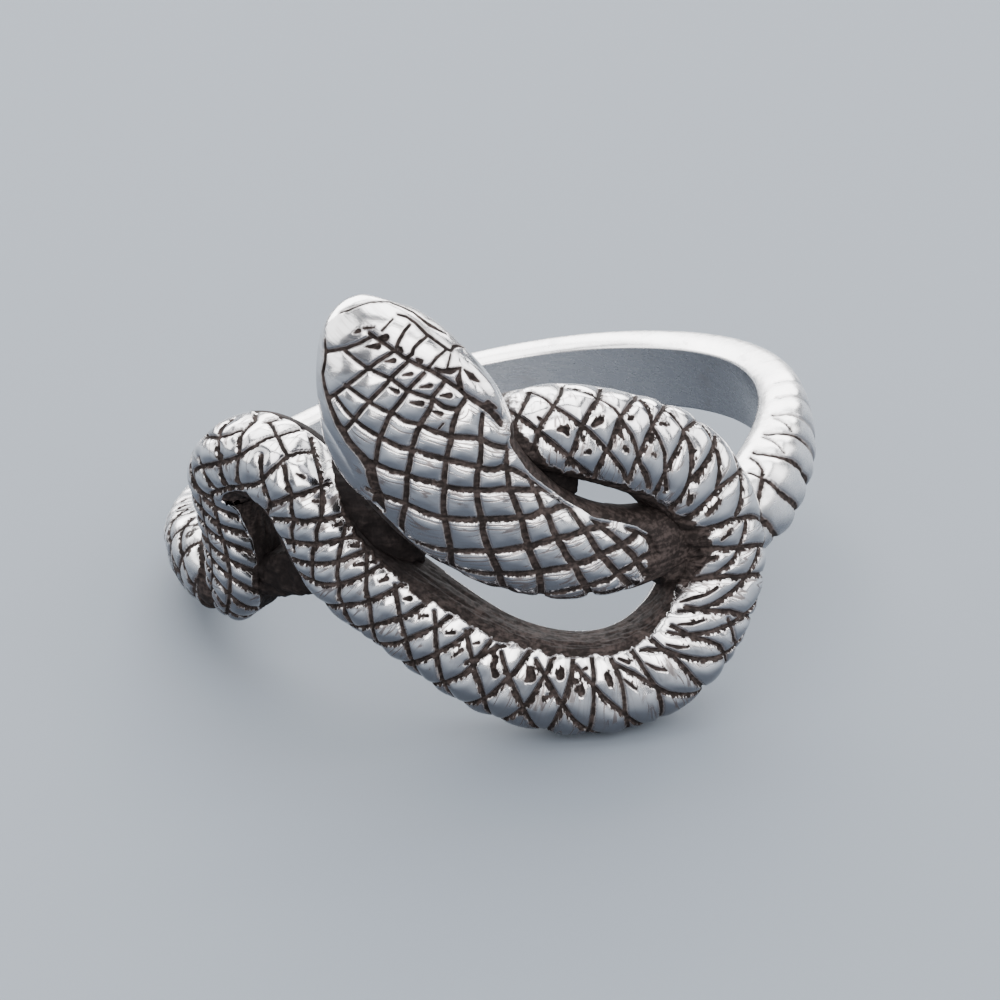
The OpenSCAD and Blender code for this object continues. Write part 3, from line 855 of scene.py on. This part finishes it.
head = {
    "rings": 480,
    "columns": 320,
    "lead": [(1.2, 0), (5.3, 0.2)],
    "depth": 0.20,
    "pitDepth": 0.09,
    "clear": 0.012,
    "bite": 0.03,
    # groove widths and dome heights, as (u, millimetres): finer at the snout
    "grooves": [(1, 0.075), (9, 0.17)],
    "domes": [(1, 0.05), (5, 0.10)],
    "scalesReach": [(0, 110)],
    "neckDark": (13.1, 13.7),
    # ovals on each side, as u, place across, half length and half width
    "eye": (4.0, 2.72, 1.3, 0.48),
    "eyeRise": 0.13,
    "jaw": (4.6, 3.3, 1.9, 0.9),
    "jawRise": {-1: 0.16, 1: 0.04},  # right side, left side
    # fine cuts begin at this u and end this far from a groove, the teeth begin at this u, and the
    # scratches are turned from the route by these shares
    "cutsStart": (2.5, 3.5),
    "cutsEnd": (0.32, 0.42),
    "teethStart": (2.5, 5.0),
    "scratchTurn": (0.77, 0.64),
    # grooves that run up to the right as seen from the front
    "longGrooves": [
        [(1.0, -0.38), (1.5, -0.74), (2.0, -1.03), (2.35, -1.3), (2.65, -1.6), (3.0, -1.85), (3.4, -2.08),
         (3.8, -2.2), (4.2, -2.34), (4.6, -2.5), (5.35, -2.72, 0.08)],
        [(1.12, 0.55), (1.5, 0.32), (1.85, 0.1), (2.15, -0.18), (2.4, -0.42), (2.75, -0.62), (3.0, -0.92),
         (3.25, -1.2), (3.65, -1.38), (4.0, -1.68)],
        [(2.0, 0.98), (2.5, 0.65), (2.75, 0.48), (3.05, 0.2), (3.25, 0.0), (3.5, -0.13), (3.8, -0.45),
         (4.15, -0.65), (4.65, -1.05), (5.0, -1.5), (5.3, -1.82), (5.55, -1.95), (5.85, -2.2), (6.2, -2.45),
         (6.45, -2.58)],
        [(2.15, 1.5), (2.6, 1.38), (2.95, 1.25), (3.2, 1.1), (3.65, 0.8), (3.95, 0.6), (4.25, 0.4),
         (4.5, 0.1), (4.8, -0.15), (5.15, -0.5), (5.4, -0.75), (5.8, -1.15), (6.1, -1.35), (6.45, -1.55),
         (6.75, -1.85), (7.1, -1.97), (7.5, -2.05), (8.1, -2.1), (8.6, -2.15)],
        [(4.3, 1.5), (4.45, 1.35), (4.8, 1.05), (5.05, 0.75), (5.4, 0.45), (5.7, 0.1), (6.0, -0.15),
         (6.25, -0.4), (6.5, -0.65), (6.9, -0.95), (7.2, -1.25), (7.65, -1.48), (8.2, -1.73), (8.6, -2.0),
         (9.45, -2.12)],
        [(5.1, 2.25), (5.5, 1.75), (5.8, 1.4), (6.05, 1.15), (6.55, 0.75), (6.9, 0.4), (7.35, 0.0),
         (7.55, -0.2), (7.8, -0.4), (8.1, -0.6), (8.4, -0.8), (8.65, -0.95), (8.9, -1.25), (9.3, -1.4),
         (9.55, -1.6), (10.0, -1.75)],
        [(6.8, 2.4), (7.2, 1.85), (7.7, 1.25), (8.0, 0.9), (8.4, 0.6), (8.7, 0.3), (9.0, 0.05),
         (9.3, -0.15), (9.5, -0.35), (9.9, -0.6), (10.3, -0.7), (10.65, -0.88), (11.1, -1.05),
         (11.4, -1.08), (11.8, -1.2)],
        [(8.1, 2.2), (8.6, 1.65), (9.1, 1.15), (9.5, 0.9), (9.8, 0.7), (10.2, 0.45), (10.65, 0.3),
         (10.9, 0.15), (11.3, 0.0), (11.55, -0.15), (11.9, -0.3), (12.25, -0.4), (12.7, -0.55),
         (13.1, -0.8)],
        [(9.9, 2.2), (10.6, 1.6), (11.25, 1.05), (11.75, 0.85), (12.15, 0.7), (12.5, 0.45), (12.9, 0.3),
         (13.25, 0.1), (13.6, 0.1)],
    ],
    # grooves that cross them
    "crossGrooves": [
        [(1.1, -0.42), (1.12, 0.0), (1.1, 0.45), (1.05, 0.75), (1.0, 1.1)],
        [(1.72, -0.9), (1.8, -0.2), (1.9, 0.3), (2.0, 0.8), (2.1, 1.35), (2.15, 1.68)],
        [(2.15, -1.1), (2.3, -0.5), (2.45, -0.1), (2.6, 0.4), (2.75, 0.85), (2.95, 1.3), (3.12, 1.68)],
        [(2.6, -1.35), (2.75, -0.75), (3.0, -0.2), (3.15, 0.15), (3.45, 0.5), (3.75, 0.85), (4.2, 1.2),
         (4.45, 1.4)],
        [(3.02, -1.75), (3.2, -1.25), (3.45, -1.05), (3.75, -0.6), (4.05, -0.25), (4.45, 0.12), (4.8, 0.4),
         (5.15, 0.75), (5.6, 1.05), (5.95, 1.35), (6.25, 1.8), (6.55, 2.25)],
        [(3.8, -2.15), (4.0, -1.75), (4.4, -1.3), (4.8, -1.0), (5.2, -0.6), (5.6, -0.25), (6.1, 0.1),
         (6.55, 0.5), (7.0, 0.85), (7.4, 1.2), (7.7, 1.55), (8.0, 2.0), (8.3, 2.5)],
        [(4.7, -2.3), (5.0, -2.0), (5.3, -1.8), (5.65, -1.52), (6.1, -1.1), (6.55, -0.75), (7.0, -0.4),
         (7.45, -0.1), (7.75, 0.2), (8.0, 0.4), (8.4, 0.7), (8.75, 0.95), (9.0, 1.15), (9.5, 1.8),
         (9.85, 2.4)],
        [(6.2, -2.5), (6.5, -2.2), (7.0, -1.75), (7.4, -1.4), (7.75, -1.2), (8.15, -0.95), (8.5, -0.7),
         (8.8, -0.4), (9.15, -0.1), (9.5, 0.25), (9.9, 0.6), (10.2, 1.1), (10.5, 1.7), (10.8, 2.3)],
        [(7.7, -2.3), (8.15, -1.95), (8.5, -1.7), (8.9, -1.35), (9.3, -1.15), (9.6, -0.85), (9.9, -0.6),
         (10.2, -0.35), (10.5, -0.05), (10.85, 0.2), (11.15, 0.55), (11.5, 0.95), (11.9, 1.5), (12.2, 2.0)],
        [(9.65, -1.95), (9.95, -1.85), (10.2, -1.6), (10.65, -1.15), (11.0, -0.85), (11.3, -0.5),
         (11.65, -0.15), (11.9, 0.05), (12.25, 0.4), (12.6, 0.7), (13.0, 1.1), (13.3, 1.5)],
        [(11.2, -1.35), (11.6, -1.05), (11.95, -0.8), (12.25, -0.55), (12.55, -0.3), (12.9, 0.0),
         (13.15, 0.35), (13.4, 0.7), (13.65, 1.15)],
        [(12.7, -0.95), (13.2, -0.75), (13.45, -0.55), (13.6, -0.2), (13.8, 0.2), (13.95, 0.6)],
    ],
    # lips, plates, pits and the slit of the eye, with the width at each point
    "details": [
        [(0.42, 0.3, 0.02), (0.45, 0.05, 0.05), (0.43, -0.6, 0.04), (0.53, -1.3, 0.04), (0.75, -1.7, 0.05),
         (1.03, -2.05, 0.08), (1.55, -2.33, 0.16), (1.9, -2.65, 0.1), (2.1, -2.9, 0.05)],
        [(0.9, -1.4, 0.04), (1.05, -1.65, 0.06), (1.3, -1.83, 0.08), (1.75, -1.98, 0.09),
         (2.15, -2.22, 0.08), (2.4, -2.38, 0.08), (2.5, -2.5, 0.06), (2.47, -2.75, 0.1), (2.57, -3.1, 0.06),
         (2.75, -3.4, 0.03)],
        [(1.28, -1.62, 0.07), (1.35, -1.4, 0.08), (1.5, -1.15, 0.09), (1.65, -0.98, 0.08)],
        [(1.82, -1.95, 0.06), (1.85, -1.65, 0.09), (1.92, -1.4, 0.08), (2.03, -1.3, 0.1),
         (2.05, -1.1, 0.08)],
        [(2.4, -2.3, 0.05), (2.42, -1.9, 0.07), (2.5, -1.65, 0.06), (2.55, -1.5, 0.1)],
        [(2.95, -2.45, 0.05), (2.87, -2.1, 0.17), (2.75, -1.85, 0.1), (2.62, -1.72, 0.05)],
        [(3.0, -2.4, 0.03), (3.15, -2.2, 0.18), (3.55, -2.16, 0.04)],
        [(3.05, -2.5, 0.03), (3.32, -2.57, 0.19), (3.6, -2.66, 0.03)],
        [(4.4, -2.55, 0.10), (4.8, -2.72, 0.03)],
        [(2.55, -2.4, 0.03), (2.75, -2.05, 0.05)],
        [(0.95, -1.2, 0.03), (1.08, -0.78, 0.05)],
        [(1.28, -0.8, 0.2), (1.22, -0.6, 0.1)],
        [(1.75, -1.05, 0.12), (1.85, -1.07, 0.05)],
        [(2.3, -1.43, 0.13), (2.2, -1.36, 0.06)],
        [(0.87, 0.03, 0.04), (0.87, -0.12, 0.13)],
        [(0.86, -0.3, 0.06), (0.94, -0.6, 0.03)],
        [(1.40, -0.47, 0.19), (1.28, -0.13, 0.03)],
        [(1.96, -0.73, 0.14), (1.88, -0.48, 0.03)],
        [(2.46, -1.0, 0.11), (2.4, -0.76, 0.03)],
        [(2.91, -1.34, 0.13), (2.83, -1.04, 0.03)],
        [(3.4, -1.7, 0.16), (3.27, -1.46, 0.03)],
        [(2.7, -0.38, 0.14), (2.52, -0.22, 0.03)],
        [(3.22, -0.85, 0.16), (3.06, -0.58, 0.04)],
        [(3.8, -1.2, 0.12), (3.6, -1.04, 0.04)],
        [(4.25, -0.9, 0.02), (4.15, -1.1, 0.04)],
        [(0.75, 1.05, 0.05), (1.2, 1.3, 0.09), (1.5, 1.58, 0.11), (2.15, 1.78, 0.13), (3.0, 1.82, 0.2),
         (3.5, 1.74, 0.22), (4.0, 1.6, 0.24), (4.5, 1.58, 0.28), (5.25, 1.9, 0.34), (5.8, 2.2, 0.4)],
    ],
    # where the scales of the neck stop on either side, as (u, v)
    "upperEdge": [
        (0, -9), (5.4, -9), (5.6, -2.9), (6.0, -2.6), (6.5, -2.5), (7.5, -2.25), (8, -2.15), (9, -2.05),
        (9.6, -1.9), (10.5, -1.65), (11, -1.4), (12, -1.2), (13, -0.9), (13.6, -0.5), (13.9, 0.2),
    ],
    "lowerEdge": [
        (0, 9), (5.4, 9), (5.5, 2.35), (6.2, 2.15), (7.2, 2.3), (8.0, 2.5), (12.6, 2.2), (13.4, 1.0),
        (13.9, 0.1),
    ],
}


def swelling(base, oval, side):
    # 1 in the middle of an oval on one side of the head, 0 outside it
    place, across, halfLength, halfWidth = oval
    away = ((base["u"] - place) / halfLength) ** 2 + ((base["v"] - side * across) / halfWidth) ** 2
    return np.clip(1 - away, 0, 1)


def makeHead():
    base = sweep(headRoute, sizes["headW"], sizes["headT"], head["rings"], head["columns"], head["lead"])
    u, v = base["u"], base["v"]
    widths = alongU(base, head["grooves"])
    longGap = strokeGap(base, head["longGrooves"], 0.0) - widths / 2
    gap = np.minimum(longGap, strokeGap(base, head["crossGrooves"], 0.0) - widths / 2)
    pitGap = strokeGap(base, head["details"], 0.1)
    fromEdge = np.minimum(v - alongU(base, head["upperEdge"]), alongU(base, head["lowerEdge"]) - v)
    onWall = 1 - smoothStep(*bareSide, fromEdge)
    inside = innerSide(base, head["scalesReach"])
    bare = np.maximum(onWall, inside)
    gap = np.maximum(gap, bare * farGap)
    ragged, lower = scaleSides(base, gap)
    height = relief(gap, head["depth"], alongU(base, head["domes"]))
    height = height + pitRelief(pitGap, head["pitDepth"]) * (1 - bare)
    # an almond eye stands out on each side, and the jaw swells below it
    for side, jawRise in head["jawRise"].items():
        height = height + head["eyeRise"] * swelling(base, head["eye"], side) ** 0.7
        height = height + jawRise * swelling(base, head["jaw"], side)
    finishSkin(base, height, head["clear"])
    soot = np.maximum(np.maximum(onWall, inside * insideSoot), smoothStep(*head["neckDark"], u))
    # fine cuts follow the upper edge of each scale
    cuts = (1 - smoothStep(*head["cutsEnd"], longGap)) * smoothStep(*head["cutsStart"], u)
    turnU, turnV = head["scratchTurn"]
    # the lower mark is painted shade, on the lower side of each scale and on the faces turned down
    marks = skinMarks(base, gap=np.minimum(gap, np.maximum(pitGap, bare * farGap)), soot=soot,
                      lower=np.maximum(lower, paintedUnderShade(base)),
                      ragged=ragged * smoothStep(*head["teethStart"], u) * smoothStep(-0.02, 0.1, pitGap),
                      bite=head["bite"], step=longGap, lined=scaleSides(base, longGap)[0] * cuts,
                      along=u * turnU - v * turnV, across=u * turnV + v * turnU, scaly=1)
    return base, marks


band = {
    "rings": 640,
    "columns": 100,
    "depth": 0.20,
    "dome": 0.11,
    "groove": 0.12,
    "scalesReach": [(0, 95)],
    "bite": 0.05,
    # the strength of the relief, as (u, share), from the right shank to the plain band
    "fade": [(0, 1), (7, 1), (8.5, 0.75), (10.5, 0.45), (13, 0)],
    # the left shank: the same strokes again and again, worn, with dark patches between them
    "leftStart": 38.5,
    "leftPitch": 1.2,
    "leftCount": 12,
    "leftStrokes": [
        [(-0.9, -2.1), (0, -0.8, 0.16), (0.9, 0.6, 0.12), (1.6, 2.0)],
        [(0.9, -2.1), (0.2, -0.9, 0.14), (-0.9, 0.6, 0.18), (-1.7, 2.0)],
    ],
    "leftPatches": [(1, 2.6, 2.0, 21)],
    "patchSoot": 0.6,
    "startDark": (0.5, 0.9),
    "plainGap": 0.12,
    # the right shank: leaf shaped scales that fade into the plain band
    "rightGrooves": [
        [(0.1, -1.2, 0.3), (0.5, -1.6, 0.24), (0.9, -2.2, 0.05)],
        [(1.2, -1.62, 0.04), (1.7, -2.0, 0.1), (2.1, -2.4, 0.04)],
        [(0.6, -1.12, 0.14), (1.4, -1.4, 0.1), (2.3, -1.7, 0.14), (3.0, -2.05, 0.12), (3.7, -2.45, 0.05)],
        [(0.5, -0.98, 0.12), (1.6, -1.05, 0.1), (2.3, -1.2, 0.1), (2.9, -1.5, 0.05)],
        [(0.5, -0.7), (1.2, -0.76, 0.06), (1.75, -0.98, 0.05)],
        [(0.6, -0.55, 0.12), (2.1, -0.5, 0.12), (3.0, -0.45, 0.12), (3.5, -0.66, 0.1), (4.0, -1.08, 0.1),
         (4.6, -1.5, 0.06), (5.25, -2.25, 0.04)],
        [(0.5, 0.0, 0.12), (1.5, 0.04, 0.12), (2.0, 0.2, 0.12), (2.5, 0.44, 0.16), (2.9, 0.8, 0.14),
         (3.2, 1.4, 0.16)],
        [(1.2, 0.7, 0.1), (1.6, 1.0, 0.14), (1.9, 1.6, 0.1)],
        [(1.9, -0.1, 0.04), (2.3, -0.2, 0.07), (2.15, -0.3, 0.04)],
        [(0.7, 0.15, 0.06), (1.0, 0.2, 0.04)],
        [(1.2, 0.4, 0.07), (1.6, 0.38, 0.05)],
        [(3.0, 0.5, 0.1), (3.25, 0.1, 0.12), (3.3, -0.4, 0.08)],
        [(3.3, -0.4, 0.08), (3.5, -0.1, 0.18), (3.75, 0.2, 0.18), (4.0, 0.7, 0.14), (4.4, 1.3, 0.2),
         (4.6, 1.7, 0.1)],
        [(4.2, -1.75, 0.05), (4.25, -1.3, 0.09), (4.4, -0.95, 0.12), (4.55, -0.5, 0.18), (4.8, -0.15, 0.18),
         (5.05, 0.15, 0.18), (5.35, 0.55, 0.24), (5.8, 1.2, 0.3), (6.0, 1.6, 0.14)],
        [(5.65, -2.4, 0.04), (5.43, -2.0, 0.08), (5.42, -1.55, 0.1), (5.56, -1.25, 0.1),
         (5.78, -0.95, 0.14), (6.0, -0.68, 0.2), (6.25, -0.38, 0.16), (6.55, -0.05, 0.05)],
        [(5.9, -1.2, 0.01), (6.15, -1.6, 0.02), (6.5, -2.1, 0.01)],
        [(6.75, -2.35, 0.04), (6.65, -1.9, 0.08), (6.75, -1.5, 0.07), (7.0, -1.15, 0.08),
         (7.3, -0.78, 0.13), (7.65, -0.4, 0.13), (8.05, 0.0, 0.2), (8.5, 0.55, 0.26), (8.9, 1.2, 0.2)],
        [(7.15, -1.25, 0.01), (7.45, -1.65, 0.02), (7.75, -2.0, 0.01)],
        [(6.3, -0.1, 0.06), (6.65, 0.25, 0.22), (7.05, 0.62, 0.28), (7.4, 1.1, 0.3), (7.7, 1.6, 0.14)],
        [(7.98, -2.35, 0.03), (7.9, -1.9, 0.06), (8.0, -1.5, 0.06), (8.22, -1.1, 0.07), (8.6, -0.65, 0.1),
         (9.0, -0.3, 0.15), (9.5, 0.3, 0.2), (9.9, 0.9, 0.1)],
        [(9.3, -2.3, 0.02), (9.2, -1.9, 0.05), (9.3, -1.5, 0.05), (9.6, -1.05, 0.06), (10.0, -0.6, 0.08),
         (10.5, 0.0, 0.08), (10.9, 0.6, 0.03)],
        [(10.6, -2.3, 0.02), (10.5, -1.9, 0.04), (10.6, -1.5, 0.04), (10.9, -1.05, 0.05),
         (11.4, -0.4, 0.05), (11.9, 0.3, 0.02)],
    ],
}


def makeBand():
    base = sweep(bandRoute, sizes["bandH"], sizes["bandT"], band["rings"], band["columns"])
    u, start = base["u"], band["leftStart"]
    leftGrooves = repeated(band["leftStrokes"], start, band["leftPitch"], band["leftCount"])
    gap = strokeGap(base, band["rightGrooves"] + leftGrooves, band["groove"])
    strength = np.maximum(alongU(base, band["fade"]), smoothStep(start, start + 4, u))
    inside = innerSide(base, band["scalesReach"])
    gap = np.maximum(gap, inside * farGap)
    height = relief(gap, band["depth"], band["dome"]) * strength
    ragged, lower = scaleSides(base, gap)
    finishSkin(base, height, 0)
    worn = smoothStep(start + 2, start + 5, u) * (1 - inside)
    patches = smoothStep(0.1, 0.4, layeredNoise(base, band["leftPatches"])) * worn
    startDark = 1 - smoothStep(*band["startDark"], u)
    # the lower mark is painted shade, on the lower side of each scale and on the faces turned down
    marks = skinMarks(base, gap=gap + (1 - strength) * band["plainGap"],
                      soot=np.maximum(patches * band["patchSoot"], startDark),
                      lower=np.maximum(lower * strength, paintedUnderShade(base)), ragged=ragged,
                      bite=band["bite"])
    return base, marks


webs = {
    "rings": 80,
    "columns": 56,
    "clear": 0.018,
    "sunk": 0.08,
    "lumps": [(1, 3.0, 3.0, 7), (0.5, 8.0, 8.0, 8)],
    "lumpRise": 0.07,
    # painted shade: how much of the lower sides' blue-grey the webs are coloured with
    "shade": 0.7,
    "soot": 1.5,
    "lumpSoot": 0.3,
    # the webs and the dark round them are oxide and painted shade
    # the dark round a web: from which u of its own, its radius, how far it goes, and how far and how
    # much blacker the coils are
    "darkFrom": 1.4,
    "radius": 0.5,
    "darkReach": 0.6,
    "blackReach": 2.0,
    "blacker": 0.5,
}


def finishWeb(base):
    lumps = layeredNoise(base, webs["lumps"])
    finishSkin(base, webs["lumpRise"] * lumps - webs["sunk"], webs["clear"])
    # the webs are coloured with oxide and painted shade, and with painted shade grey
    return skinMarks(base, soot=webs["soot"] - webs["lumpSoot"] * lumps, lower=webs["shade"])


# each piece's swept skin, with its marks
skins = {"coils": makeCoils(), "head": makeHead(), "band": makeBand()}
webBases = {name: sweep(route, sizes["bodyW"], sizes["bodyT"], webs["rings"], webs["columns"])
            for name, route in webRoutes.items()}
print("swept surfaces made")

# oxide and painted shade in the crevices where one piece touches another
# the piece that darkens, the one beside it with its stretch of u and its radius there, and the dark's reach
crevices = [
    ("coils", "head", 6.3, 17, 1.3, 0.55),
    ("coils", "head", 2.5, 7.5, 2.1, 0.75),
    ("coils", "head", 12, 17, 1.1, 0.9),
    ("head", "coils", 33, 38, 0.9, 0.35),
    ("head", "coils", 24.3, 30.4, 1.45, 0.35),
    ("band", "coils", 0, 2.6, 1.2, 0.4),
    ("band", "coils", 22.6, 30.4, 1.45, 0.5),
]
for name, beside, start, end, radius, reach in crevices:
    base, marks = skins[name]
    touching = nearStretch(base, skins[beside][0], start, end, radius, reach)
    marks["soot"] = np.maximum(marks["soot"], touching)

# oxide and painted shade: the coils are dark where a web meets them, and blacker all round it
base, marks = skins["coils"]
for web in webBases.values():
    touching = nearStretch(base, web, webs["darkFrom"], math.inf, webs["radius"], webs["darkReach"])
    around = nearStretch(base, web, 0, math.inf, webs["radius"], webs["blackReach"])
    marks["soot"] = np.maximum(marks["soot"], touching) * (1 + webs["blacker"] * around)
print("crevices darkened")

silver = silverMaterial("oxidisedSilver")
for name, lengths in {"coils": 3, "head": 2, "band": 1}.items():
    settleLengths(name, *skins[name], lengths, silver)
for name, base in webBases.items():
    settleLengths(name, base, finishWeb(base), 1, silver)
print("pieces made")

# Floor, light and camera
studio = {
    "floor": (0.104, 0.121, 0.143, 1),
    "floorReach": 0.6,
    "floorRough": 0.75,
    "air": (0.43, 0.46, 0.52, 1),
    "airPower": 0.50,
    # each lamp's place, size, power and colour
    "lamps": {
        "skyLamp": ((0.0, 0.10, 0.42), (0.50, 0.48), 5.0, (1, 1, 1)),
        "backLamp": ((-0.05, 0.42, 0.21), (0.90, 0.26), 6.2, (1, 1, 1)),
        "frontLamp": ((0.05, -0.36, 0.25), (0.75, 0.50), 8.4, (1.0, 0.985, 0.98)),
        "leftLamp": ((-0.42, 0.03, 0.20), (0.55, 0.34), 1.8, (1, 1, 1)),
        "rightLamp": ((0.42, 0.03, 0.20), (0.55, 0.34), 2.4, (1, 1, 1)),
    },
    "viewAzimuth": 4.7,
    "viewElevation": 26.43,
    "viewDistance": 0.14636,
    "viewLens": 162.0,
    "aimFromHole": (0.000176, -0.000181, -0.000334),
}


def makeFloor():
    side = studio["floorReach"]
    mesh = bpy.data.meshes.new("floor")
    corners = [(-side, -side, 0), (side, -side, 0), (side, side, 0), (-side, side, 0)]
    mesh.from_pydata(corners, [], [(0, 1, 2, 3)])
    floor = bpy.data.objects.new("floor", mesh)
    bpy.context.scene.collection.objects.link(floor)
    shader = Shader("paleFloor")
    shader.surface.inputs["Base Color"].default_value = studio["floor"]
    shader.surface.inputs["Roughness"].default_value = studio["floorRough"]
    mesh.materials.append(shader.material)


def makeLamp(name, place, size, power, color):
    lamp = bpy.data.lights.new(name, "AREA")
    lamp.shape = "RECTANGLE"
    lamp.size, lamp.size_y = size
    lamp.energy = power
    lamp.color = color
    lampObject = bpy.data.objects.new(name, lamp)
    lampObject.location = place
    lampObject.rotation_euler = (-Vector(place)).to_track_quat("-Z", "Y").to_euler()
    bpy.context.scene.collection.objects.link(lampObject)


def makeAir():
    world = bpy.data.worlds.new("studio")
    world.use_nodes = True
    background = world.node_tree.nodes["Background"]
    background.inputs["Color"].default_value = studio["air"]
    background.inputs["Strength"].default_value = studio["airPower"]
    bpy.context.scene.world = world


def makeCamera():
    azimuth, elevation = math.radians(studio["viewAzimuth"]), math.radians(studio["viewElevation"])
    forward = Vector((math.sin(azimuth) * math.cos(elevation), math.cos(azimuth) * math.cos(elevation),
                      -math.sin(elevation)))
    aim = Vector(holePlace) + Vector(studio["aimFromHole"])
    camera = bpy.data.cameras.new("camera")
    camera.lens = studio["viewLens"]
    camera.clip_start = 0.005
    cameraObject = bpy.data.objects.new("camera", camera)
    cameraObject.location = aim - forward * studio["viewDistance"]
    cameraObject.rotation_euler = forward.to_track_quat("-Z", "Y").to_euler()
    bpy.context.scene.collection.objects.link(cameraObject)
    bpy.context.scene.camera = cameraObject


makeFloor()
for name, (place, size, power, color) in studio["lamps"].items():
    makeLamp(name, place, size, power, color)
makeAir()
makeCamera()
print("studio made")
